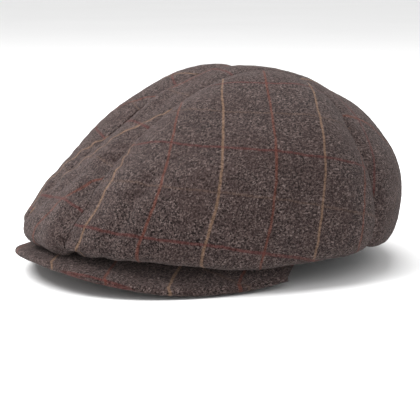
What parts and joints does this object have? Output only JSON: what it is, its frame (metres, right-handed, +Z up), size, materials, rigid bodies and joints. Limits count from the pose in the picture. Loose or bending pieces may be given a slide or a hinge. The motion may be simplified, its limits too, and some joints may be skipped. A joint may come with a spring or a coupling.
{
  "type": "newsboy cap",
  "caption": "Soft flat newsboy-style cap of checked wool: centre strip between two full side panels, short curved cloth-covered visor, satin lining and sweatband.",
  "frame": {"origin": "middle of the bounding box, on the ground the cap rests on", "axes": "the wearer faces -Y, the wearer's left side is +X, +Z is up; length along Y"},
  "size_m": [0.2016, 0.2609, 0.1185],
  "materials": {
    "wool": "felted brown-charcoal melange wool with a faint tan and rust windowpane check",
    "interlining": "matt off-white bonded interlining",
    "lining": "dark satin with a soft sheen",
    "board": "matt flexible visor board",
    "sweatband": "fine ribbed cotton band",
    "elastic": "ribbed knitted elastic",
    "binding": "narrow woven binding",
    "tape": "twill stay tape",
    "thread": "polyester sewing thread",
    "label": "plain woven label, no text"
  },
  "bodies": {
    "root": {"crown_centre_panel": "wool", "crown_left_panel": "wool", "crown_right_panel": "wool", "visor_top_cover": "wool", "visor_under_cover": "wool", "interlining_centre_panel": "interlining", "interlining_left_panel": "interlining", "interlining_right_panel": "interlining", "lining_centre_panel": "lining", "lining_left_panel": "lining", "lining_right_panel": "lining", "visor_board": "board", "sweatband_front": "sweatband", "sweatband_back_elastic": "elastic", "sweatband_top_binding": "binding", "rim_stay_tape": "tape", "sweatband_stitches": "thread", "size_label": "label", "care_label": "label"}
  },
  "joints": []
}
